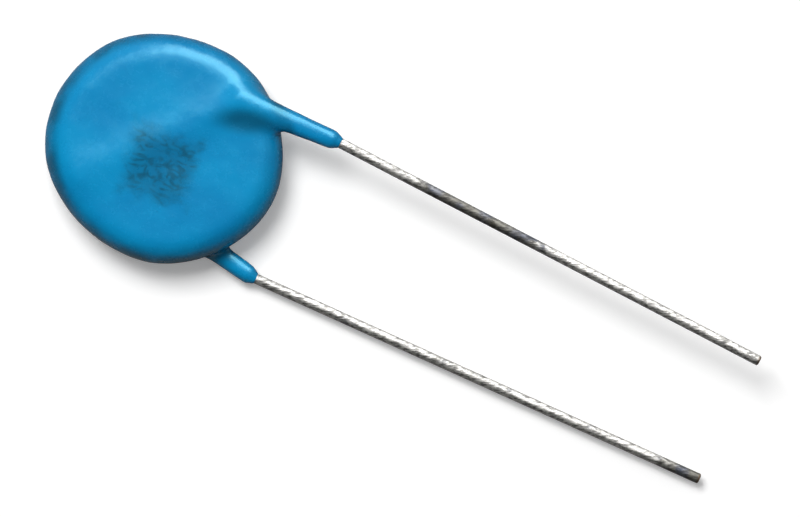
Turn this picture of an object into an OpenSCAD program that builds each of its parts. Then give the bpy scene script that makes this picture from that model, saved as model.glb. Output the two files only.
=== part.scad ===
// Ceramic disc capacitor: a round ceramic dielectric with a silvered electrode on each
// face, a tinned wire soldered across each electrode, and one dipped epoxy coat over all
// of it that runs a little way down both wires.
//
// The part lies on its back as it would on a bench. +X runs along the leads towards their
// tips, +Z is up, and the origin is on the bench under the middle of the part's box.
// Every piece is first drawn about the centre of the ceramic, and placed() then lifts it.
// Each back piece is drawn as a front one, with the rear leg's own length and slant, and
// then turned over about the X axis.

/* [Ceramic] */
// Diameter of the ceramic disc
disc_d = 12.5; // [11.5:0.1:14]
// Thickness of the ceramic disc
disc_t = 2; // [1.2:0.1:3]
// Radius on the ceramic's two edges
disc_edge = 0.2; // [0.05:0.05:0.4]

/* [Electrodes] */
// Bare ceramic left round each electrode
electrode_margin = 0.6; // [0.3:0.1:1.2]
// Thickness of each tinned silver electrode
electrode_t = 0.05; // [0.03:0.01:0.1]

/* [Leads] */
// Diameter of the lead wire
wire_d = 0.64; // [0.5:0.02:0.8]
// Distance between the leads where they leave the coat
lead_pitch = 10; // [9.5:0.1:10.5]
// Length of the leads beyond the coat's edge between them
lead_len = 31.6; // [10:0.1:40]
// Outward slant of the front wire inside its coated leg
front_slant = 3; // [1:0.5:8]
// Outward slant of the rear wire inside its coated leg
rear_slant = 9; // [1:0.5:14]
// Lean of each bare lead towards the other
lead_lean = 1.6; // [0.8:0.1:3]
// Angle at which the wire crosses the face
cross_angle = 50; // [46:1:56]
// Distance at which the wire passes the face's centre
cross_offset = 0.7; // [0.4:0.1:1.2]
// Length of wire past the face's centre
tail_len = 5.2; // [3.5:0.1:5.4]
// Inside radius of the bend where the wire turns off the face
bend_r = 0.9; // [0.6:0.1:1.5]
// Chamfer left by the cutter on the wire's ends
wire_chamfer = 0.08; // [0.02:0.01:0.15]

/* [Solder] */
// Radius of the solder fillet beside the wire
solder_r = 0.5; // [0.3:0.05:0.6]
// Thickness of the solder that covers the wire
solder_film = 0.07; // [0.06:0.01:0.1]
// Thickness of the solder under the wire
solder_bed = 0.04; // [0.02:0.01:0.05]
// Thickness at which the solder's fillet stops
solder_edge = 0.03; // [0.02:0.01:0.05]
// Length of soldered wire on each side of the face's centre
solder_reach = 3.4; // [3:0.1:3.5]

/* [Coat] */
// Thickness of the coat on the flat faces
face_coat = 0.9; // [0.85:0.05:1.1]
// Fall of each face from its centre to its rim
face_dome = 0.12; // [0:0.02:0.3]
// Thickness of the coat at the sides of the disc
side_coat = 0.85; // [0.7:0.01:1]
// Sideways drift of the dipped coat off the ceramic, towards the rear lead
coat_drift = 0.08; // [0:0.01:0.15]
// Thickness of the coat at the end away from the leads, where the dip gathers
dip_coat = 1.45; // [1:0.05:1.6]
// Thickness of the coat at the end between the leads
seat_coat = 1.1; // [0.9:0.05:1.4]
// Width of the rounded shoulder round the rim
shoulder = 1.6; // [1.2:0.1:2]
// Height by which each face swells over its wire
swell = 0.2; // [0.15:0.01:0.3]
// Distance from the wire at which the swell has mostly sunk back into the face
swell_w = 1.2; // [1:0.1:1.5]
// Width over which the coat fills the corner between a leg and the disc
meniscus = 0.7; // [0.4:0.1:1]
// Height of the slow waves left in the coat's outline
coat_wave = 0.05; // [0:0.01:0.1]

/* [Coated legs] */
// Length of the front leg beyond the coat's edge between the leads
front_leg_len = 2.2; // [1.6:0.1:4]
// Length of the back leg beyond the coat's edge between the leads
rear_leg_len = 1.05; // [1:0.05:4]
// Diameter of the front leg where its wire turns off the face
front_root_d = 1.75; // [1.4:0.05:1.9]
// Diameter of the rear leg where its wire turns off the face
rear_root_d = 1.45; // [1.3:0.05:1.9]
// Length over which each leg's root sinks into the face along its wire
leg_fade = 2.2; // [1.6:0.1:2.6]
// Diameter of each leg at its end
leg_end_d = 1.22; // [1.1:0.02:1.26]
// Radius round the end of each leg
leg_end_r = 0.25; // [0.1:0.05:0.35]

/* [Fit] */
// Gap modelled between pieces that touch all round
fit_gap = 0.01; // [0.005:0.005:0.02]

/* [Hidden] */
$fn = 64;

electrode_d = disc_d - 2 * electrode_margin;
electrode_top = disc_t / 2 + electrode_t;
wire_r = wire_d / 2;
wire_z = electrode_top + solder_bed + wire_r;

// The coat's body is an egg in plan: a half ellipse on each side of Y
side_reach = disc_d / 2 + side_coat;
dip_reach = disc_d / 2 + dip_coat;
seat_reach = disc_d / 2 + seat_coat;
half_thick = disc_t / 2 + face_coat;
wave_lobes = 5;
wave_turn = 20;

// The wire's centre line on the front face, from its tail to its tip
across = [cos(cross_angle), sin(cross_angle)];
crossing = cross_offset * [-sin(cross_angle), cos(cross_angle)];
tail = crossing - tail_len * across;
kink_inset = 0.1;
hair = 0.004;
tip_x = seat_reach + lead_len;

function slant(front) = front ? front_slant : rear_slant;
function leg_end(front) = seat_reach + (front ? front_leg_len : rear_leg_len);
function leg_root_r(front) = (front ? front_root_d : rear_root_d) / 2;

// Where each wire starts to lean, just inside its leg's end, and where it turns off the face
function kink(front) = [leg_end(front) - kink_inset, lead_pitch / 2];
function turn_off(front) =
    let (rise = tan(slant(front)), from = kink(front) - crossing)
    crossing + across * (from.y - from.x * rise) / (across.y - across.x * rise);

// Steps taken along a ray to the coat's surface, and the share of the gap taken at each
ray_steps = 16;
ray_step = 0.8;

// Where the part lies: its lowest point is somewhere along the rear wire
probe_steps = 16;
probes = [
    for (i = [0:probe_steps]) mix(tail, turn_off(false), i / probe_steps),
    for (i = [1:probe_steps]) mix(turn_off(false), kink(false), i / probe_steps / 2)
];
rest_height = max([for (p = probes) -ray_out([p.x, -p.y, 0], [0, 0, -1]).z]);
centre_x = (dip_reach - tip_x) / 2;

// ---- Shape of the coat: its signed distance at a point, negative inside ----

function mix(a, b, t) = a + (b - a) * t;
function limit(t) = min(1, max(0, t));

// Lesser of two distances, with the corner between them filled over width k
function blend(a, b, k) =
    let (h = max(k - abs(a - b), 0) / k)
    min(a, b) - h * h * k / 4;

// Distance from p to the line from a to b, and how far along it the nearest point is
function along(p, a, b) = limit((p - a) * (b - a) / ((b - a) * (b - a)));
function line_gap(p, a, b) = norm(p - mix(a, b, along(p, a, b)));

// The same point with the part turned over about X, and a point of the wire's plane
function turned_over(p) = [p.x, -p.y, -p.z];
function on_wire(p) = [p.x, p.y, wire_z];

// Height of the swell over the front wire at a point in plan
function swell_at(p, front) = swell * exp(-pow(line_gap(p, tail, turn_off(front)) / swell_w, 2));

// The disc's own coat: a domed slab with a quarter ellipse for its shoulder
function body_gap(p) =
    let (
        x = p.x / (p.x < 0 ? dip_reach : seat_reach) * side_reach,
        y = p.y + coat_drift,
        wave = coat_wave * cos(wave_lobes * atan2(y, p.x) + wave_turn),
        out = norm([x, y]) * (1 - wave / side_reach),
        over = max(out - side_reach + shoulder, 0) / shoulder,
        rise = p.z > 0 ? swell_at([p.x, p.y], true) : swell_at([p.x, -p.y], false),
        thick = half_thick - face_dome * pow(min(out / side_reach, 1), 2) + rise
    )
    (norm([over, p.z / thick]) - 1) * min(shoulder, thick);

// A tapered leg, drawn where the front one is: its root fades back along the wire across
// the face, and its end is blunt
function leg_gap(p, front) =
    let (
        root = on_wire(turn_off(front)),
        end = on_wire(kink(front) + kink_inset * [1, tan(slant(front))]),
        fade = on_wire(turn_off(front) - leg_fade * across),
        way = (end - root) / norm(end - root),
        root_r = leg_root_r(front),
        tube = line_gap(p, root, end + way * leg_end_d) - mix(root_r, leg_end_d / 2, along(p, root, end)),
        leg = -blend(-tube, (end - p) * way, 2 * leg_end_r)
    )
    min(leg, line_gap(p, root, fade) - mix(root_r, wire_r, along(p, root, fade)));

// The whole coat: the disc's, then the two legs
function coat_gap(p) =
    blend(
        blend(body_gap(p), leg_gap(p, true), meniscus),
        leg_gap(turned_over(p), false),
        meniscus
    );

// The point where a ray from p, inside the coat, comes out along d
function ray_out(p, d, n = ray_steps) =
    n == 0 ? p : ray_out(p - d * coat_gap(p) * ray_step, d, n - 1);

// ---- Mesh of the coat: one vertex in each grid cell that the surface passes through ----

cell = 0.42;
cell_z = 0.3;
pad = 0.44;
settle_probe = 0.01;
cell_inset = 0.01;

// Grid lines from one side to the other, no further apart than the cell's size
function lines(from, to, cell) =
    let (n = ceil((to - from) / cell))
    [for (i = [0:n]) mix(from, to, i / n)];

// A point moved square to the surface until it all but lies on it
function settle(p) =
    let (
        gap = coat_gap(p),
        steps = [[settle_probe, 0, 0], [0, settle_probe, 0], [0, 0, settle_probe]],
        slope = [for (step = steps) coat_gap(p + step) - gap] / settle_probe
    )
    p - slope * gap / (slope * slope);

// A point kept inside its own cell, so that no two cells share a vertex
function keep_in(p, low, high) =
    [for (i = [0:2]) min(max(p[i], low[i] + cell_inset), high[i] - cell_inset)];

// The twelve edges of a cell, as pairs of corners
edges = [
    for (u = [0, 1]) for (v = [0, 1]) each [
        [[0, u, v], [1, u, v]],
        [[u, 0, v], [u, 1, v]],
        [[u, v, 0], [u, v, 1]]
    ]
];

// The solid inside the coat's outer surface
module coat_skin() {
    cells_up = ceil((rest_height + pad) / cell_z) + 1;
    xs = lines(-dip_reach - pad, max(leg_end(true), leg_end(false)) + pad, cell);
    ys = lines(-side_reach - coat_drift - pad, side_reach - coat_drift + pad, cell);
    zs = [for (k = [-cells_up:cells_up - 1]) (k + 0.5) * cell_z];
    nx = len(xs) - 1;
    ny = len(ys) - 1;
    nz = len(zs) - 1;
    gaps = [for (x = xs) [for (y = ys) [for (z = zs) coat_gap([x, y, z])]]];

    function gap_at(c) = gaps[c.x][c.y][c.z];
    function point_at(c) = [xs[c.x], ys[c.y], zs[c.z]];

    // Where the surface crosses the edges of each cell
    crossings = [
        for (i = [0:nx - 1]) for (j = [0:ny - 1]) for (k = [0:nz - 1])
            [
                for (e = edges)
                    let (
                        a = [i, j, k] + e[0],
                        b = [i, j, k] + e[1],
                        gap_a = gap_at(a),
                        gap_b = gap_at(b)
                    )
                    if ((gap_a < 0) != (gap_b < 0))
                        mix(point_at(a), point_at(b), gap_a / (gap_a - gap_b))
            ]
    ];

    // One vertex for each cell that the surface passes through, and its place in the list
    points = [
        for (i = [0:nx - 1]) for (j = [0:ny - 1]) for (k = [0:nz - 1])
            let (c = crossings[(i * ny + j) * nz + k])
            if (len(c) > 0)
                keep_in(
                    settle([for (p = c) 1] * c / len(c)),
                    point_at([i, j, k]),
                    point_at([i + 1, j + 1, k + 1])
                )
    ];
    rank = [for (i = 0, n = 0; i < len(crossings); n = n + (len(crossings[i]) > 0 ? 1 : 0), i = i + 1) n];
    function vertex(i, j, k) = rank[(i * ny + j) * nz + k];

    // Four cells meet round each grid edge that crosses the surface
    quads = [
        for (i = [1:nx - 1]) for (j = [1:ny - 1]) for (k = [1:nz - 1])
            let (inside = gaps[i][j][k] < 0)
            each [
                if (inside != (gaps[i + 1][j][k] < 0))
                    [inside, vertex(i, j - 1, k - 1), vertex(i, j, k - 1), vertex(i, j, k), vertex(i, j - 1, k)],
                if (inside != (gaps[i][j + 1][k] < 0))
                    [inside, vertex(i - 1, j, k - 1), vertex(i - 1, j, k), vertex(i, j, k), vertex(i, j, k - 1)],
                if (inside != (gaps[i][j][k + 1] < 0))
                    [inside, vertex(i - 1, j - 1, k), vertex(i, j - 1, k), vertex(i, j, k), vertex(i - 1, j, k)]
            ]
    ];
    polyhedron(
        points,
        [
            for (q = quads) each q[0] ?
                [[q[1], q[3], q[2]], [q[1], q[4], q[3]]] :
                [[q[1], q[2], q[3]], [q[1], q[3], q[4]]]
        ]
    );
}

// ---- Inside pieces. grow enlarges each one to the pocket that it fills in the coat ----

module ceramic(grow = 0) {
    flat_r = disc_d / 2 - disc_edge;
    flat_z = disc_t / 2 - disc_edge;
    rotate_extrude() {
        translate([0, -disc_t / 2 - grow]) square([flat_r, disc_t + 2 * grow]);
        translate([0, -flat_z]) square([disc_d / 2 + grow, 2 * flat_z]);
        for (z = [-flat_z, flat_z]) {
            intersection() {
                translate([flat_r, z]) circle(disc_edge + grow);
                translate([flat_r, z > 0 ? z : z - disc_d]) square(disc_d);
            }
        }
    }
}

module electrode(grow = 0) {
    translate([0, 0, disc_t / 2]) cylinder(d = electrode_d + 2 * grow, h = electrode_t + grow);
}

// Points along an arc
function arc(middle, r, from, to, steps) =
    [for (i = [0:steps]) let (a = mix(from, to, i / steps)) middle + r * [cos(a), sin(a)]];

// Half of the solder's section: a film over the wire, flat on its crown, that runs out in
// a fillet
function solder_half(grow) =
    let (
        film_r = wire_r + solder_film,
        up = [0, solder_bed + wire_r],
        rise = solder_r + solder_edge - up.y,
        foot = sqrt(pow(film_r + solder_r, 2) - rise * rise),
        meet = atan(rise / foot)
    )
    concat(
        [[0, -grow], [foot + grow, -grow], [foot + grow, solder_edge + grow]],
        arc(up + [foot, rise], solder_r - grow, -90, meet - 180, 6),
        arc(up, film_r + grow, meet, 80, 7),
        [up + [0, (film_r + grow) * sin(80)]]
    );

module solder_run(grow = 0) {
    half = solder_half(grow);
    other = [for (i = [len(half) - 2:-1:1]) [-half[i].x, half[i].y]];
    translate([crossing.x, crossing.y, electrode_top]) rotate([0, 0, cross_angle]) {
        translate([-solder_reach, 0, 0]) rotate([90, 0, 90])
            linear_extrude(2 * solder_reach) polygon(concat(half, other));
        for (side = [0, 180]) rotate([0, 0, side])
            translate([solder_reach, 0, 0]) rotate([0, 0, -90])
                rotate_extrude(angle = 180) polygon(half);
    }
}

module solder(front) {
    difference() {
        solder_run();
        wire_run(front, wire_r + fit_gap);
    }
}

// A straight length of wire from a to b with an optional chamfer at either end
module straight(a, b, r, chamfers = [0, 0]) {
    length = norm(b - a);
    translate(on_wire(a)) rotate([0, 90, atan2(b.y - a.y, b.x - a.x)]) {
        translate([0, 0, chamfers[0]]) cylinder(r = r, h = length - chamfers[0] - chamfers[1]);
        if (chamfers[0] > 0) cylinder(r1 = r - chamfers[0], r2 = r, h = chamfers[0]);
        if (chamfers[1] > 0) translate([0, 0, length - chamfers[1]])
            cylinder(r1 = r, r2 = r - chamfers[1], h = chamfers[1]);
    }
}

// The wire, drawn where the front one is: across the face, round its bend, along the leg,
// then leaning inwards. The bend, and the ball where the wire starts to lean, stand a hair
// proud of it and its straight lengths run a little way into them, so that they join cleanly.
module wire_run(front, r, chamfer = 0) {
    middle_r = bend_r + wire_r;
    bend = cross_angle - slant(front);
    setback = middle_r * tan(bend / 2);
    way = [cos(slant(front)), sin(slant(front))];
    turned = turn_off(front) + setback * way;
    kink = kink(front);
    tip = kink + (tip_x - kink.x) * [1, -tan(lead_lean)];
    straight(tail, turn_off(front) - across * (setback - hair), r, [chamfer, 0]);
    translate(on_wire(turned + middle_r * [way.y, -way.x])) rotate([0, 0, 90 + slant(front)])
        rotate_extrude(angle = bend) translate([middle_r, 0]) circle(r + hair);
    straight(turned - hair * way, kink, r);
    translate(on_wire(kink)) rotate([0, 90, 0]) sphere(r + hair);
    straight(kink, tip, r, [0, chamfer]);
}

// ---- The pieces, each in its own node ----

module placed() {
    translate([centre_x, 0, rest_height]) children();
}

module turned() {
    rotate([180, 0, 0]) children();
}

module epoxy_coat() {
    color("dodgerblue") placed() difference() {
        coat_skin();
        ceramic(fit_gap);
        for (front = [true, false]) rotate([front ? 0 : 180, 0, 0]) {
            electrode(fit_gap);
            solder_run(fit_gap);
            wire_run(front, wire_r + fit_gap);
        }
    }
}

module ceramic_disc() {
    color("tan") placed() ceramic();
}

module front_electrode() {
    color("silver") placed() electrode();
}

module rear_electrode() {
    color("silver") placed() turned() electrode();
}

module front_solder() {
    color("lightgrey") placed() solder(true);
}

module rear_solder() {
    color("lightgrey") placed() turned() solder(false);
}

module front_lead() {
    color("gainsboro") placed() wire_run(true, wire_r, wire_chamfer);
}

module rear_lead() {
    color("gainsboro") placed() turned() wire_run(false, wire_r, wire_chamfer);
}

epoxy_coat();
ceramic_disc();
front_electrode();
rear_electrode();
front_solder();
rear_solder();
front_lead();
rear_lead();
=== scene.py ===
"""Ceramic disc capacitor: its dipped coat, its tinned leads and its stage, round the part."""

import math

import bpy
from mathutils import Matrix, Vector


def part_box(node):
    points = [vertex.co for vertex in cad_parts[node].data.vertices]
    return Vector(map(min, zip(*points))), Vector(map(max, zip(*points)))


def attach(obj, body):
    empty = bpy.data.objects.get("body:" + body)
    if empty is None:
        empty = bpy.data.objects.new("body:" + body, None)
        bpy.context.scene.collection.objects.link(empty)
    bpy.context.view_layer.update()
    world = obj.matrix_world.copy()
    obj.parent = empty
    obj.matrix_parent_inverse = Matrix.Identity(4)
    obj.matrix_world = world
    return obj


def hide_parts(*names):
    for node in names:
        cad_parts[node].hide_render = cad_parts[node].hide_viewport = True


bl_info = {
    "name": "Ceramic disc capacitor",
    "version": (1, 0, 0),
    "blender": (4, 5, 0),
    "location": "3D View > Sidebar > Capacitor",
    "description": "Builds a dipped ceramic disc capacitor round its packed frame",
    "category": "Object",
}

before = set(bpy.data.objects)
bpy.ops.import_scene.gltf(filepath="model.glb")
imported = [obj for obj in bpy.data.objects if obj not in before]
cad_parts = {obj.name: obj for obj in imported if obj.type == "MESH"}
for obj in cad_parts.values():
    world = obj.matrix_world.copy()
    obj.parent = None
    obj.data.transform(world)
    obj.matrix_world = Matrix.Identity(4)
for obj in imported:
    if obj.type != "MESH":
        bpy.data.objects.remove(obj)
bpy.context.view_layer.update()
MM = 0.001

# Every length is in millimetres unless its comment says otherwise

# The part's own places, from the boxes of its nodes
CERAMIC = [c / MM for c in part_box("ceramic_disc")]
CENTRE = (CERAMIC[0] + CERAMIC[1]) / 2
CERAMIC_R = (CERAMIC[1].x - CERAMIC[0].x) / 2
FRONT = [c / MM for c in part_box("front_lead")]
WIRE_R = (FRONT[1].z - FRONT[0].z) / 2
WIRE_Z = FRONT[1].z - WIRE_R - CENTRE.z
TIP_X = FRONT[1].x - CENTRE.x

# Points of a mesh that are closer than this are merged
WELD = 0.0005

# The coat's pockets: radius and half height of those for the solder and the ceramic, radius
# of the wires', and the stretch at each leg's end where the coat hugs its wire
ROUND_POCKETS = ((5.5, 1.6), (CERAMIC_R + 0.25, 1.15))
WIRE_POCKET_R = 0.5
MOUTH_LEN = 0.7
MOUTH_R = WIRE_R + 0.02

# The film of coat past each leg: its radii at the leg and at its end, and its length in the leg
FILM_R = (WIRE_R + 0.14, WIRE_R + 0.03)
FILM_SIDES = 48
FILM_SUNK = 0.3

# Sizes of the noise that gives the coat its slow waves and its orange peel
WAVE_SIZE = 3.2
PEEL_SIZE = 0.9

# The wires: how far inside its leg's end each starts to lean, the straight steps in its bend
# and in its bare run, the chamfer on its buried end, and its tip, whose rings shrink in turn
KINK_INSET = 0.1
BEND_STEPS = 10
RUN_STEPS = 24
TAIL_CHAMFER = 0.08
TIP_RINGS = (0.94, 0.78)
TIP_STEP = 0.05
# Drawing a wire leaves its faces in another order each run. They are sorted by their distance
# from these points, of which the later count first.
SORT_FROM = ((0, 0, 50), (0, 0, 0))

# Stretches of each wire that handling has dulled, along X, and the width of their edges
DULL = {"front": (-0.6, 8.0), "rear": (20.6, 27.0)}
DULL_EDGE = 1.5
# The cut tip's colour starts and ends this far from the tip
CUT = (0.22, 0.04)
STREAK_TURN = math.radians(26)

# The ink on the coat: the middle of its patch, the distances at which it fades at the sides and
# below the face, how ragged its sides are, how wide its strokes are against the noise that
# draws them, and its share between and on the strokes
INK_PLACE = (CENTRE.x + 0.2, -1.15, CENTRE.z)
INK_TURN = math.radians(-80)
INK_REACH = (2.2, 3.5)
INK_HEIGHT = (1.2, 1.5)
INK_RAGGED = 1.6
STROKE_WIDTH = 0.13
INK_SHARE = (0.4, 0.8)

# Painted shade in the rim's colour: in the corner under the front leg's root, and in a band
# round the rim's egg, whose height doesn't count and which sits a little off the centre
CORNER_SHADE_PLACE = (CENTRE.x + 3.8, 3.7, CENTRE.z + 2.0)
CORNER_SHADE_TURN = math.radians(18)
CORNER_SHADE_SIZE = (2.4, 1.0, 1.3)
RIM_SHADE_PLACE = (CENTRE.x + 0.2, 0.09, CENTRE.z)
RIM_SHADE_SIZE = (7.5, 7.1, 1000)

# Second colours, which break up those in the settings
WHITE = (1, 1, 1, 1)
MOTTLED_BLUE = (0.004, 0.32, 0.58)
BLUISH_TIN = (0.095, 0.105, 0.135)
STREAKED_TIN = (0.07, 0.068, 0.065)
CUT_COPPER = (0.16, 0.11, 0.07)
DARK_CERAMIC = (0.28, 0.17, 0.09)
PALE_CERAMIC = (0.5, 0.36, 0.22)
DARK_SILVER = (0.5, 0.48, 0.43)
DARK_SOLDER = (0.38, 0.39, 0.41)

# The stage, in metres: the paper's side, the point that the lamps face, each lamp's place and
# sides, and the room's light, which rises between two cosines of the angle to its bright side
PAPER_SIDE = 3.0
LAMP_AIM = (-0.008, 0, 0.002)
KEY_LAMP = ((-0.145, 0.115, 0.345), (0.17, 0.17))
STRIP_LAMP = ((-0.018, 0.291, 0.198), (0.3, 0.31))
SPARK_LAMP = ((0.016, 0.13, 0.31), (0.09, 0.09))
ROOM_RISE = (-0.2, 0.9)
ROOM_DARK_SHARE = 0.12


class CoatSettings(bpy.types.PropertyGroup):
    voxel: bpy.props.FloatProperty(
        name="Voxel", description="Grid on which the coat's skin is rebuilt, in millimetres",
        default=0.11, min=0.06)
    melt: bpy.props.IntProperty(
        name="Melt", description="Smoothing passes over the rebuilt skin", default=4, min=0)
    wave: bpy.props.FloatProperty(
        name="Slow waves",
        description="Height of the slow waves that a dip leaves, in millimetres", default=0.045)
    peel: bpy.props.FloatProperty(
        name="Orange peel", description="Height of the fine unevenness, in millimetres",
        default=0.016)
    film_len: bpy.props.FloatProperty(
        name="Film on the wire",
        description="Length of the coat's film past each leg, in millimetres", default=0.14)
    blue: bpy.props.FloatVectorProperty(
        name="Blue", description="The coat's colour", subtype="COLOR", size=3,
        default=(0.002, 0.27, 0.56))
    deep_blue: bpy.props.FloatVectorProperty(
        name="Deep blue", description="Where the coat is thicker", subtype="COLOR", size=3,
        default=(0.002, 0.225, 0.5))
    # Painted shade: the dark colour laid round the rim and in the corner under the front leg's
    # root
    rim: bpy.props.FloatVectorProperty(
        name="Rim", description="Deep colour round the rim", subtype="COLOR", size=3,
        default=(0.003, 0.085, 0.17))
    ink: bpy.props.FloatVectorProperty(
        name="Ink", description="The worn ink patch on the face", subtype="COLOR", size=3,
        default=(0.002, 0.06, 0.11))


class LeadSettings(bpy.types.PropertyGroup):
    sides: bpy.props.IntProperty(
        name="Sides", description="Sides of the round wire", default=48, min=12)
    cross_angle: bpy.props.FloatProperty(
        name="Crossing angle", description="Angle at which the wire crosses the face",
        subtype="ANGLE", default=math.radians(50))
    cross_offset: bpy.props.FloatProperty(
        name="Crossing offset",
        description="Distance at which the wire passes the centre, in millimetres", default=0.7)
    tail_len: bpy.props.FloatProperty(
        name="Tail", description="Length of wire past the centre, in millimetres", default=5.2)
    pitch: bpy.props.FloatProperty(
        name="Pitch", description="Distance between the leads at the coat, in millimetres",
        default=10.0)
    front_slant: bpy.props.FloatProperty(
        name="Front slant", description="Outward slant of the front wire inside its leg",
        subtype="ANGLE", default=math.radians(3))
    rear_slant: bpy.props.FloatProperty(
        name="Rear slant", description="Outward slant of the rear wire inside its leg",
        subtype="ANGLE", default=math.radians(9))
    bend_r: bpy.props.FloatProperty(
        name="Bend", description="Inside radius of the wire's bend, in millimetres", default=0.9)
    front_leg_end: bpy.props.FloatProperty(
        name="Front leg",
        description="End of the front coated leg from the centre, in millimetres", default=9.55)
    rear_leg_end: bpy.props.FloatProperty(
        name="Rear leg",
        description="End of the rear coated leg from the centre, in millimetres", default=8.4)
    lean: bpy.props.FloatProperty(
        name="Lean", description="Lean of each bare lead towards the other", subtype="ANGLE",
        default=math.radians(1.6))
    tin: bpy.props.FloatVectorProperty(
        name="Tin", description="Bright tinned wire", subtype="COLOR", size=3,
        default=(0.72, 0.71, 0.68))
    dull_tin: bpy.props.FloatVectorProperty(
        name="Dull tin", description="Handled stretches of the wire", subtype="COLOR", size=3,
        default=(0.12, 0.115, 0.095))


class InsideSettings(bpy.types.PropertyGroup):
    ceramic: bpy.props.FloatVectorProperty(
        name="Ceramic", description="Fired dielectric", subtype="COLOR", size=3,
        default=(0.36, 0.22, 0.11))
    silver: bpy.props.FloatVectorProperty(
        name="Silver", description="Fired silver film", subtype="COLOR", size=3,
        default=(0.62, 0.6, 0.55))
    solder: bpy.props.FloatVectorProperty(
        name="Solder", description="Reflowed solder", subtype="COLOR", size=3,
        default=(0.48, 0.49, 0.5))


class StageSettings(bpy.types.PropertyGroup):
    distance: bpy.props.FloatProperty(
        name="Camera distance", description="From the camera to the part", unit="LENGTH",
        default=0.35)
    lens: bpy.props.FloatProperty(
        name="Lens", description="Focal length in millimetres", default=252.6)
    target: bpy.props.FloatVectorProperty(
        name="Target", description="Point at the middle of the picture", subtype="TRANSLATION",
        unit="LENGTH", size=3, default=(0.00045, 0.00013, 0.00247))
    turn: bpy.props.FloatVectorProperty(
        name="Turn", description="Tilt about the long side, tilt about the short side, and roll",
        subtype="EULER", size=3,
        default=(math.radians(-1.1), math.radians(1.25), math.radians(25.9)))
    key_power: bpy.props.FloatProperty(
        name="Key lamp", description="Power of the large lamp", unit="POWER", default=1.32)
    strip_power: bpy.props.FloatProperty(
        name="Strip lamp", description="Power of the lamp that draws the highlights",
        unit="POWER", default=2.15)
    spark_power: bpy.props.FloatProperty(
        name="Spark lamp", description="Power of the small lamp that brightens them",
        unit="POWER", default=0.08)
    sky: bpy.props.FloatProperty(
        name="Room light", description="Strength of the room's light on its bright side",
        default=0.55)
    window: bpy.props.FloatVectorProperty(
        name="Bright side", description="Direction of the room's bright side",
        subtype="DIRECTION", size=3, default=(-0.2, 0.9, 0.35))
    paper: bpy.props.FloatProperty(
        name="Paper", description="The paper's grey where it is looked at", subtype="FACTOR",
        default=0.86)
    mirrored: bpy.props.FloatProperty(
        name="Mirrored paper", description="The paper's grey as metal and gloss mirror it",
        subtype="FACTOR", default=0.25)
    bounce: bpy.props.FloatProperty(
        name="Bounce", description="The paper's grey in the light that it throws back",
        subtype="FACTOR", default=0.1)
    lift: bpy.props.FloatProperty(
        name="Paper white", description="Lift of the paper towards white where it is looked at",
        default=0.22)


# ---- Helpers ----

def only(obj):
    """Selects this object alone, and makes it the active one."""
    bpy.ops.object.select_all(action="DESELECT")
    obj.select_set(True)
    bpy.context.view_layer.objects.active = obj


def named(name):
    """Names the object that an operator has just made, and its data, and returns it."""
    obj = bpy.context.view_layer.objects.active
    obj.name = obj.data.name = name
    return obj


def apply_modifiers(obj):
    only(obj)
    for modifier in list(obj.modifiers):
        bpy.ops.object.modifier_apply(modifier=modifier.name)


def apply_place():
    """Puts the place of what is selected into its mesh."""
    bpy.ops.object.transform_apply(location=True, rotation=True, scale=True)


def to_metres(obj):
    """Brings a piece that was made in millimetres to its place in the frame."""
    only(obj)
    apply_place()
    obj.scale = (MM, MM, MM)
    apply_place()


def smooth(obj, degrees):
    only(obj)
    bpy.ops.object.shade_smooth_by_angle(angle=math.radians(degrees))


def dress(obj, material):
    obj.data.materials.clear()
    obj.data.materials.append(material)


# ---- Node trees: owner is the material or the world whose nodes they are ----

def link(owner, a, b):
    owner.node_tree.links.new(a, b)


def placed(owner, vector, location=(0, 0, 0), turn=0.0, size=(1, 1, 1)):
    """Coordinates about a place, turned with it about Z and divided by its size."""
    node = owner.node_tree.nodes.new("ShaderNodeMapping")
    node.vector_type = "TEXTURE"
    node.inputs["Location"].default_value = location
    node.inputs["Rotation"].default_value = (0, 0, turn)
    node.inputs["Scale"].default_value = size
    link(owner, vector, node.inputs["Vector"])
    return node.outputs[0]


def split(owner, vector):
    """The three coordinates of a vector."""
    node = owner.node_tree.nodes.new("ShaderNodeSeparateXYZ")
    link(owner, vector, node.inputs[0])
    return node.outputs


def length(owner, vector):
    node = owner.node_tree.nodes.new("ShaderNodeVectorMath")
    node.operation = "LENGTH"
    link(owner, vector, node.inputs[0])
    return node.outputs["Value"]


def noise(owner, place, scale, detail=3.0, rough=0.5, stretch=(1, 1, 1), offset=(0, 0, 0),
          distortion=0.0):
    """Noise from 0 to 1 at a place, squeezed along an axis by its stretch."""
    nodes = owner.node_tree.nodes
    mapping = nodes.new("ShaderNodeMapping")
    mapping.inputs["Scale"].default_value = stretch
    mapping.inputs["Location"].default_value = offset
    texture = nodes.new("ShaderNodeTexNoise")
    texture.inputs["Scale"].default_value = scale
    texture.inputs["Detail"].default_value = detail
    texture.inputs["Roughness"].default_value = rough
    texture.inputs["Distortion"].default_value = distortion
    link(owner, place, mapping.inputs["Vector"])
    link(owner, mapping.outputs[0], texture.inputs["Vector"])
    return texture.outputs["Fac"]


def ramp(owner, value, low, high, to_low=0.0, to_high=1.0):
    """Maps low..high to to_low..to_high, softly and without going past either."""
    node = owner.node_tree.nodes.new("ShaderNodeMapRange")
    node.interpolation_type = "SMOOTHSTEP"
    node.inputs["From Min"].default_value = low
    node.inputs["From Max"].default_value = high
    node.inputs["To Min"].default_value = to_low
    node.inputs["To Max"].default_value = to_high
    link(owner, value, node.inputs["Value"])
    return node.outputs[0]


def maths(owner, operation, a, b=None):
    """One sum on numbers or nodes' outputs."""
    node = owner.node_tree.nodes.new("ShaderNodeMath")
    node.operation = operation
    for value, socket in zip((a, b), node.inputs):
        if isinstance(value, (int, float)):
            socket.default_value = value
        elif value is not None:
            link(owner, value, socket)
    return node.outputs[0]


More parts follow.
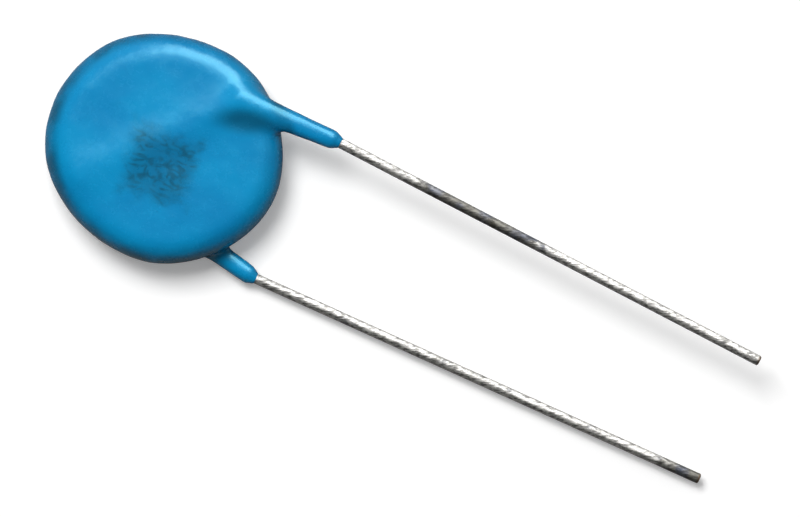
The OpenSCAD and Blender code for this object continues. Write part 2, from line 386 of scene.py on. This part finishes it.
def times(owner, a, b):
    return maths(owner, "MULTIPLY", a, b)


def plus(owner, a, b):
    return maths(owner, "ADD", a, b)


def band(owner, value, rise, fall):
    """1 between a rise and a fall, and 0 outside them."""
    return times(owner, ramp(owner, value, *rise), ramp(owner, value, *fall, 1.0, 0.0))


def mixed(owner, share, a, b):
    """A mix of two colours, each a colour or a node's output."""
    node = owner.node_tree.nodes.new("ShaderNodeMix")
    node.data_type = "RGBA"
    link(owner, share, node.inputs[0])
    for value, socket in ((a, node.inputs[6]), (b, node.inputs[7])):
        if isinstance(value, bpy.types.NodeSocket):
            link(owner, value, socket)
        else:
            socket.default_value = (*value, 1)
    return node.outputs[2]


# ---- Materials ----

def new_material(name):
    """An empty node material with its shader and its coordinates in millimetres."""
    material = bpy.data.materials.new(name)
    material.use_nodes = True
    nodes = material.node_tree.nodes
    nodes.clear()
    out = nodes.new("ShaderNodeOutputMaterial")
    shader = nodes.new("ShaderNodeBsdfPrincipled")
    link(material, shader.outputs[0], out.inputs["Surface"])
    place = nodes.new("ShaderNodeTexCoord")
    return material, shader, placed(material, place.outputs["Object"], size=(MM, MM, MM))


def bump(material, shader, height, distance):
    """Bump on the shader, whose distance is in metres."""
    node = material.node_tree.nodes.new("ShaderNodeBump")
    node.inputs["Distance"].default_value = distance
    link(material, height, node.inputs["Height"])
    link(material, node.outputs[0], shader.inputs["Normal"])


def worn_ink(material, place):
    """Share of ink: a patch of short strokes, faded and rubbed away, on the upper face only."""
    patch = placed(material, place, INK_PLACE, INK_TURN)
    x, y, z = split(material, patch)
    aside, along = maths(material, "ABSOLUTE", x), maths(material, "ABSOLUTE", y)
    reach = maths(material, "MAXIMUM", aside, along)
    ragged = noise(material, patch, 0.9, detail=2.0, offset=(0, 0, 5))
    reach = plus(material, reach, times(material, ragged, INK_RAGGED))
    inside = ramp(material, reach, *INK_REACH, 1.0, 0.0)
    above = ramp(material, z, *INK_HEIGHT)
    strokes = noise(
        material, patch, 0.7, detail=1.0, rough=0.4, stretch=(1.5, 0.8, 0.6), distortion=1.6)
    off_line = maths(material, "ABSOLUTE", maths(material, "SUBTRACT", strokes, 0.5))
    strokes = ramp(material, off_line, 0.0, STROKE_WIDTH, 1.0, 0.0)
    worn = ramp(material, noise(material, place, 2.2, rough=0.6), 0.32, 0.58)
    low, high = INK_SHARE
    ink = plus(material, times(material, times(material, strokes, worn), high - low), low)
    return times(material, ink, times(material, inside, above))


def epoxy_material(coat):
    """Glossy blue dip, clouded, mottled and inked, with painted shade at the rim and under a leg.
    """
    material, shader, place = new_material("blue_epoxy")
    clouds = ramp(material, noise(material, place, 0.22, detail=2.0, offset=(3, 1, 0)), 0.35, 0.65)
    body = mixed(material, clouds, coat.blue, coat.deep_blue)
    mottle = noise(material, place, 1.6, detail=4.0, rough=0.6)
    body = mixed(material, ramp(material, mottle, 0.4, 0.75, 0.0, 0.12), body, MOTTLED_BLUE)
    ink = worn_ink(material, place)
    body = mixed(material, ink, body, coat.ink)

    # Painted shade in the corner under the front leg's root, darkest there and fading out from it
    corner = length(material, placed(material, place, CORNER_SHADE_PLACE, CORNER_SHADE_TURN, CORNER_SHADE_SIZE))
    body = mixed(material, ramp(material, corner, 0.25, 1.15, 0.75, 0.0), body, coat.rim)
    # Painted shade in a band round the rim, set a little off-centre and broken by noise
    out = length(material, placed(material, place, RIM_SHADE_PLACE, size=RIM_SHADE_SIZE))
    uneven = ramp(material, noise(material, place, 0.5, offset=(0, 5, 0)), 0.35, 0.65, 0.35, 0.85)
    rim = times(material, band(material, out, (0.9, 1.0), (1.02, 1.1)), uneven)
    link(material, mixed(material, rim, body, coat.rim), shader.inputs["Base Color"])

    sheen = noise(material, place, 2.2, detail=4.0, rough=0.6, offset=(7, 0, 2))
    sheen = ramp(material, sheen, 0.3, 0.8, 0.22, 0.32)
    link(material, plus(material, sheen, times(material, ink, 0.1)), shader.inputs["Roughness"])
    shader.inputs["IOR"].default_value = 1.5
    shader.inputs["Specular IOR Level"].default_value = 0.6
    shader.inputs["Specular Tint"].default_value = (0.45, 1, 1, 1)
    bump(material, shader, noise(material, place, 9.0, detail=4.0, rough=0.65), 0.000006)
    return material


def tin_material(lead, name, dull_from, dull_to):
    """Tinned wire with slanting streaks, dull where it was handled and brown where it was cut."""
    material, shader, place = new_material(name)
    x = split(material, place)[0]
    slanting = placed(material, place, turn=STREAK_TURN)
    streaks = noise(material, slanting, 5.5, rough=0.65, stretch=(0.4, 1.4, 1.4))
    patches = noise(
        material, place, 0.7, detail=4.0, rough=0.65, stretch=(1.0, 1.6, 1.6), offset=(11, 0, 0))
    handled = band(material, x, (dull_from - DULL_EDGE, dull_from + DULL_EDGE),
                   (dull_to - DULL_EDGE, dull_to + DULL_EDGE))
    dull = ramp(material, patches, 0.5, 0.72, 0.0, 0.6)
    dull = ramp(material, plus(material, dull, times(material, handled, 0.75)), 0.0, 1.0)

    tint = ramp(material, noise(material, place, 0.8, detail=2.0, offset=(4, 0, 9)), 0.45, 0.6)
    colour = mixed(material, dull, lead.tin, mixed(material, tint, lead.dull_tin, BLUISH_TIN))
    colour = mixed(material, ramp(material, streaks, 0.42, 0.62, 0.0, 0.74), colour, STREAKED_TIN)
    cut = ramp(material, x, *(TIP_X + CENTRE.x - edge for edge in CUT))
    link(material, mixed(material, cut, colour, CUT_COPPER), shader.inputs["Base Color"])
    shader.inputs["Metallic"].default_value = 1.0
    rough = plus(material, dull, times(material, streaks, 0.4))
    link(material, ramp(material, rough, 0.0, 1.4, 0.57, 0.68), shader.inputs["Roughness"])
    bump(material, shader, plus(material, streaks, times(material, patches, 0.8)), 0.00004)
    return material


def ceramic_material(inside):
    """Matt fired ceramic, cloudy and with a pale grain."""
    material, shader, place = new_material("fired_ceramic")
    grain = noise(material, place, 12.0, detail=5.0, rough=0.7)
    clouds = ramp(material, noise(material, place, 0.8), 0.3, 0.7, 0.0, 0.6)
    colour = mixed(material, clouds, inside.ceramic, DARK_CERAMIC)
    colour = mixed(material, ramp(material, grain, 0.55, 0.8, 0.0, 0.5), colour, PALE_CERAMIC)
    link(material, colour, shader.inputs["Base Color"])
    link(material, ramp(material, grain, 0.2, 0.8, 0.6, 0.85), shader.inputs["Roughness"])
    bump(material, shader, grain, 0.00001)
    return material


def metal_material(name, colour, shade, rough, height):
    """Satin metal with a cloudy surface, for the silver film and the solder."""
    material, shader, place = new_material(name)
    cloud = noise(material, place, 2.4, detail=5.0, rough=0.65)
    colour = mixed(material, ramp(material, cloud, 0.3, 0.75), colour, shade)
    link(material, colour, shader.inputs["Base Color"])
    shader.inputs["Metallic"].default_value = 1.0
    link(material, ramp(material, cloud, 0.2, 0.8, rough, rough + 0.2), shader.inputs["Roughness"])
    bump(material, shader, cloud, height)
    return material


# ---- The wires' routes ----

def leg_end(lead, front):
    return lead.front_leg_end if front else lead.rear_leg_end


def wire_path(lead, front):
    """Centre line of one wire from tail to tip, in millimetres from the ceramic's centre."""
    across = Vector((math.cos(lead.cross_angle), math.sin(lead.cross_angle), 0))
    crossing = lead.cross_offset * Vector((-across.y, across.x, 0))
    tail = crossing - lead.tail_len * across
    slant = lead.front_slant if front else lead.rear_slant
    way = Vector((math.cos(slant), math.sin(slant), 0))
    kink = Vector((leg_end(lead, front) - KINK_INSET, lead.pitch / 2, 0))
    rise = math.tan(slant)
    reach = (kink.y - crossing.y - (kink.x - crossing.x) * rise) / (across.y - across.x * rise)
    turn_off = crossing + across * reach
    bend = lead.cross_angle - slant
    middle_r = lead.bend_r + WIRE_R
    centre = turn_off + way * middle_r * math.tan(bend / 2) + middle_r * Vector((way.y, -way.x, 0))
    arc = [centre + middle_r * Vector((-math.sin(a), math.cos(a), 0))
           for a in (slant + bend * (1 - i / BEND_STEPS) for i in range(BEND_STEPS + 1))]
    tip = kink + (TIP_X - kink.x) * Vector((1, -math.tan(lead.lean), 0))
    path = [p + Vector((0, 0, WIRE_Z)) for p in [tail, *arc, kink, tip]]
    return path if front else [Vector((p.x, -p.y, -p.z)) for p in path]


def path_gap(p, path):
    """Distance from a point to a path."""
    gaps = []
    for a, b in zip(path, path[1:]):
        share = (p - a).dot(b - a) / (b - a).length_squared
        gaps.append((p - a.lerp(b, min(1.0, max(0.0, share)))).length)
    return min(gaps)


# ---- The coat ----

class CAPACITOR_OT_coat(bpy.types.Operator):
    """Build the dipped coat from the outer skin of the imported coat"""
    bl_idname = "capacitor.coat"
    bl_label = "Dipped coat"
    bl_options = {"REGISTER", "UNDO"}

    def copy_coat(self, context):
        """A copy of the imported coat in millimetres, without what marks it as the node itself."""
        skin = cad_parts["epoxy_coat"].copy()
        skin.data = skin.data.copy()
        skin.parent = None
        for key in list(skin.keys()):
            del skin[key]
        context.collection.objects.link(skin)
        only(skin)
        named("dipped_coat")
        skin.scale = (1 / MM,) * 3
        apply_place()
        return skin

    def keep_outside(self, skin, paths):
        """Cuts away the pockets that the inner pieces fill, and closes the two mouths."""
        bpy.ops.object.mode_set(mode="EDIT")
        bpy.ops.mesh.select_all(action="SELECT")
        bpy.ops.mesh.remove_doubles(threshold=WELD)
        bpy.ops.mesh.select_all(action="DESELECT")
        bpy.ops.object.mode_set(mode="OBJECT")

        def in_pocket(co):
            p = co - CENTRE
            r = math.hypot(p.x, p.y)
            if any(r < radius and abs(p.z) < half for radius, half in ROUND_POCKETS):
                return True
            path, end_x = paths[0] if p.z > 0 else paths[1]
            return path_gap(p, path) < (WIRE_POCKET_R if p.x < end_x - MOUTH_LEN else MOUTH_R)

        inner = [in_pocket(v.co) for v in skin.data.vertices]
        for face in skin.data.polygons:
            face.select = all(inner[i] for i in face.vertices)
        bpy.ops.object.mode_set(mode="EDIT")
        bpy.ops.mesh.delete(type="FACE")
        bpy.ops.mesh.select_all(action="DESELECT")
        bpy.ops.mesh.select_non_manifold(extend=False)
        bpy.ops.mesh.fill_holes(sides=0)
        bpy.ops.mesh.select_all(action="SELECT")
        bpy.ops.mesh.tris_convert_to_quads(
            face_threshold=math.radians(40), shape_threshold=math.radians(60))
        bpy.ops.mesh.normals_make_consistent(inside=False)
        bpy.ops.object.mode_set(mode="OBJECT")

    def add_films(self, coat, skin, paths):
        """Adds the thin film of coat that runs a little way out along each wire."""
        films = []
        for path, _ in paths:
            start, end = path[-2] + CENTRE, path[-1] + CENTRE
            direction = (end - start).normalized()
            bpy.ops.object.select_all(action="DESELECT")
            bpy.ops.mesh.primitive_cone_add(
                vertices=FILM_SIDES, radius1=FILM_R[0], radius2=FILM_R[1],
                depth=coat.film_len + FILM_SUNK,
                location=start + direction * (KINK_INSET + (coat.film_len - FILM_SUNK) / 2),
                rotation=direction.to_track_quat("Z", "Y").to_euler())
            films.append(named("film"))
        only(skin)
        for film in films:
            film.select_set(True)
        bpy.ops.object.join()
        apply_place()

    def melt(self, coat, skin):
        """Makes one skin of the coat and its films, and gives it the unevenness of a dip."""
        remesh = skin.modifiers.new("one_skin", "REMESH")
        remesh.mode = "VOXEL"
        remesh.voxel_size = coat.voxel
        relax = skin.modifiers.new("melt", "SMOOTH")
        relax.factor = 0.5
        relax.iterations = coat.melt
        for name, size, height, depth in (
                ("slow_waves", WAVE_SIZE, coat.wave, 1), ("orange_peel", PEEL_SIZE, coat.peel, 2)):
            texture = bpy.data.textures.new(name, "CLOUDS")
            texture.noise_scale = size
            texture.noise_depth = depth
            waves = skin.modifiers.new(name, "DISPLACE")
            waves.texture = texture
            waves.texture_coords = "LOCAL"
            waves.strength = height * 2
            waves.mid_level = 0.5
        apply_modifiers(skin)

    def execute(self, context):
        coat = context.scene.capacitor_coat
        lead = context.scene.capacitor_leads
        paths = [(wire_path(lead, front), leg_end(lead, front)) for front in (True, False)]
        skin = self.copy_coat(context)
        self.keep_outside(skin, paths)
        rounder = skin.modifiers.new("rounder", "SUBSURF")
        rounder.levels = rounder.render_levels = 2
        apply_modifiers(skin)
        self.add_films(coat, skin, paths)
        self.melt(coat, skin)
        smooth(skin, 60)
        dress(skin, epoxy_material(coat))
        to_metres(skin)
        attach(skin, "root")
        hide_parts("epoxy_coat")
        return {"FINISHED"}


# ---- The leads ----

class CAPACITOR_OT_leads(bpy.types.Operator):
    """Draw the two tinned wires along their bends, with sheared tips"""
    bl_idname = "capacitor.leads"
    bl_label = "Tinned leads"
    bl_options = {"REGISTER", "UNDO"}

    def draw_wire(self, context, lead, name, path):
        """One wire: a ring of sides drawn along its path, square to it at each point."""
        path = [p + CENTRE for p in path]
        path = path[:-2] + [path[-2].lerp(path[-1], i / RUN_STEPS) for i in range(RUN_STEPS + 1)]
        first = (path[1] - path[0]).normalized()
        bpy.ops.object.select_all(action="DESELECT")
        bpy.ops.mesh.primitive_circle_add(
            vertices=lead.sides, radius=WIRE_R - TAIL_CHAMFER, fill_type="NGON", location=path[0],
            rotation=first.to_track_quat("Z", "Y").to_euler())
        wire = named(name)
        apply_place()
        bpy.ops.object.mode_set(mode="EDIT")
        bpy.ops.mesh.select_all(action="SELECT")

        def draw(step, to, resize=1.0, turn=0.0):
            """Draws the ring on by a step to a point, where it is resized and turned about Z."""
            bpy.ops.mesh.extrude_region_move(TRANSFORM_OT_translate={"value": step})
            if resize != 1.0:
                bpy.ops.transform.resize(value=(resize,) * 3, center_override=to)
            if abs(turn) > 1e-6:
                bpy.ops.transform.rotate(value=-turn, orient_axis="Z", center_override=to)

        here, facing = path[0] + first * TAIL_CHAMFER, first
        draw(first * TAIL_CHAMFER, here, resize=WIRE_R / (WIRE_R - TAIL_CHAMFER))
        for i in range(1, len(path)):
            last = i + 1 == len(path)
            before = (path[i] - path[i - 1]).normalized()
            after = before if last else (path[i + 1] - path[i]).normalized()
            square = (before + after).normalized()
            target = path[i] - before * (TIP_STEP * len(TIP_RINGS)) if last else path[i]
            turn = math.atan2(facing.x * square.y - facing.y * square.x,
                              facing.x * square.x + facing.y * square.y)
            draw(target - here, target, turn=turn)
            here, facing = target, square
        for i, resize in enumerate(TIP_RINGS, 1):
            draw(facing * TIP_STEP, here + facing * (TIP_STEP * i), resize=resize)
        bpy.ops.mesh.select_all(action="SELECT")
        bpy.ops.mesh.remove_doubles(threshold=WELD)
        bpy.ops.mesh.normals_make_consistent(inside=False)
        for point in SORT_FROM:
            context.scene.cursor.location = point
            bpy.ops.mesh.sort_elements(type="CURSOR_DISTANCE", elements={"VERT", "EDGE", "FACE"})
        bpy.ops.object.mode_set(mode="OBJECT")
        return wire

    def execute(self, context):
        lead = context.scene.capacitor_leads
        for side, dull in DULL.items():
            path = wire_path(lead, side == "front")
            wire = self.draw_wire(context, lead, "tinned_lead_" + side, path)
            to_metres(wire)
            smooth(wire, 40)
            dress(wire, tin_material(lead, "tinned_wire_" + side, *dull))
            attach(wire, "root")
            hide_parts(side + "_lead")
        return {"FINISHED"}


class CAPACITOR_OT_inside(bpy.types.Operator):
    """Finish the ceramic, the electrodes and the solder that the coat covers"""
    bl_idname = "capacitor.inside"
    bl_label = "Inside pieces"
    bl_options = {"REGISTER", "UNDO"}

    def execute(self, context):
        inside = context.scene.capacitor_inside
        silver = metal_material(
            "fired_silver", inside.silver, DARK_SILVER, rough=0.35, height=0.00001)
        solder = metal_material(
            "reflowed_solder", inside.solder, DARK_SOLDER, rough=0.28, height=0.00003)
        dress(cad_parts["ceramic_disc"], ceramic_material(inside))
        for side in ("front", "rear"):
            dress(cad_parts[side + "_electrode"], silver)
            dress(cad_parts[side + "_solder"], solder)
        return {"FINISHED"}


# ---- The stage ----

class CAPACITOR_OT_stage(bpy.types.Operator):
    """Lay out the paper, the lamps, the room's light and the camera"""
    bl_idname = "capacitor.stage"
    bl_label = "Stage"
    bl_options = {"REGISTER", "UNDO"}

    def paper(self, stage):
        """White paper, in one grey where it is looked at, another as it is mirrored, and a third
        in the light that it throws back."""
        bpy.ops.object.select_all(action="DESELECT")
        bpy.ops.mesh.primitive_plane_add(size=PAPER_SIDE, location=(0, 0, 0))
        floor = named("paper")
        material = bpy.data.materials.new("white_paper")
        material.use_nodes = True
        nodes = material.node_tree.nodes
        nodes.clear()
        out = nodes.new("ShaderNodeOutputMaterial")
        ray = nodes.new("ShaderNodeLightPath")
        seen = ray.outputs["Is Camera Ray"]
        glossy, through = ray.outputs["Is Glossy Ray"], ray.outputs["Is Transmission Ray"]
        mirrored = maths(material, "MAXIMUM", glossy, through)
        colour = plus(material, times(material, seen, stage.paper - stage.bounce),
                      times(material, mirrored, stage.mirrored - stage.bounce))
        plain = nodes.new("ShaderNodeBsdfDiffuse")
        link(material, plus(material, colour, stage.bounce), plain.inputs["Color"])
        glow = nodes.new("ShaderNodeEmission")
        link(material, times(material, seen, stage.lift), glow.inputs["Strength"])
        white = nodes.new("ShaderNodeAddShader")
        link(material, plain.outputs[0], white.inputs[0])
        link(material, glow.outputs[0], white.inputs[1])
        link(material, white.outputs[0], out.inputs["Surface"])
        dress(floor, material)

    def room(self, stage):
        """White where it is looked at, and elsewhere a light that fades from its bright side."""
        world = bpy.data.worlds.new("studio")
        bpy.context.scene.world = world
        world.use_nodes = True
        nodes = world.node_tree.nodes
        nodes.clear()
        out = nodes.new("ShaderNodeOutputWorld")
        where = nodes.new("ShaderNodeTexCoord")
        toward = nodes.new("ShaderNodeVectorMath")
        toward.operation = "DOT_PRODUCT"
        toward.inputs[1].default_value = Vector(stage.window).normalized()
        link(world, where.outputs["Generated"], toward.inputs[0])
        strength = ramp(
            world, toward.outputs["Value"], *ROOM_RISE, stage.sky * ROOM_DARK_SHARE, stage.sky)
        light = nodes.new("ShaderNodeBackground")
        white = nodes.new("ShaderNodeBackground")
        light.inputs["Color"].default_value = white.inputs["Color"].default_value = WHITE
        link(world, strength, light.inputs["Strength"])
        ray = nodes.new("ShaderNodeLightPath")
        choice = nodes.new("ShaderNodeMixShader")
        link(world, ray.outputs["Is Camera Ray"], choice.inputs[0])
        link(world, light.outputs[0], choice.inputs[1])
        link(world, white.outputs[0], choice.inputs[2])
        link(world, choice.outputs[0], out.inputs["Surface"])

    def lamp(self, name, place, size, power):
        bpy.ops.object.select_all(action="DESELECT")
        toward = Vector(LAMP_AIM) - Vector(place)
        bpy.ops.object.light_add(
            type="AREA", location=place, rotation=toward.to_track_quat("-Z", "Y").to_euler())
        lamp = named(name)
        lamp.data.shape = "RECTANGLE"
        lamp.data.size, lamp.data.size_y = size
        lamp.data.energy = power
        return lamp

    def camera(self, context, stage):
        turn = (Matrix.Rotation(stage.turn[2], 3, "Z") @ Matrix.Rotation(stage.turn[0], 3, "X")
                @ Matrix.Rotation(stage.turn[1], 3, "Y"))
        bpy.ops.object.select_all(action="DESELECT")
        bpy.ops.object.camera_add(
            location=Vector(stage.target) + turn.col[2] * stage.distance, rotation=turn.to_euler())
        camera = named("camera")
        camera.data.sensor_width = 36.0
        camera.data.lens = stage.lens
        camera.data.clip_start = 0.01
        camera.data.clip_end = 10.0
        context.scene.camera = camera

    def execute(self, context):
        stage = context.scene.capacitor_stage
        self.paper(stage)
        self.room(stage)
        key = self.lamp("key_lamp", *KEY_LAMP, stage.key_power)
        strip = self.lamp("strip_lamp", *STRIP_LAMP, stage.strip_power)
        spark = self.lamp("spark_lamp", *SPARK_LAMP, stage.spark_power)
        key.visible_glossy = strip.visible_diffuse = spark.visible_diffuse = False
        self.camera(context, stage)
        context.scene.view_settings.view_transform = "Standard"
        return {"FINISHED"}


class CAPACITOR_PT_panel(bpy.types.Panel):
    """The operators that build the capacitor, with their settings"""
    bl_idname = "CAPACITOR_PT_panel"
    bl_label = "Ceramic disc capacitor"
    bl_space_type = "VIEW_3D"
    bl_region_type = "UI"
    bl_category = "Capacitor"

    def draw(self, context):
        for operator, group in STEPS:
            box = self.layout.box()
            box.operator(operator)
            settings = getattr(context.scene, group)
            for name in settings.bl_rna.properties.keys():
                if name not in ("rna_type", "name"):
                    box.prop(settings, name)


STEPS = (
    ("capacitor.coat", "capacitor_coat"),
    ("capacitor.leads", "capacitor_leads"),
    ("capacitor.inside", "capacitor_inside"),
    ("capacitor.stage", "capacitor_stage"),
)

GROUPS = {
    "capacitor_coat": CoatSettings,
    "capacitor_leads": LeadSettings,
    "capacitor_inside": InsideSettings,
    "capacitor_stage": StageSettings,
}

CLASSES = (
    *GROUPS.values(),
    CAPACITOR_OT_coat, CAPACITOR_OT_leads, CAPACITOR_OT_inside, CAPACITOR_OT_stage,
    CAPACITOR_PT_panel,
)


def register():
    for item in CLASSES:
        bpy.utils.register_class(item)
    for name, group in GROUPS.items():
        setattr(bpy.types.Scene, name, bpy.props.PointerProperty(type=group))


def unregister():
    for name in GROUPS:
        delattr(bpy.types.Scene, name)
    for item in reversed(CLASSES):
        bpy.utils.unregister_class(item)


def main():
    register()
    bpy.ops.capacitor.coat()
    bpy.ops.capacitor.leads()
    bpy.ops.capacitor.inside()
    bpy.ops.capacitor.stage()


if __name__ == "__main__":
    main()
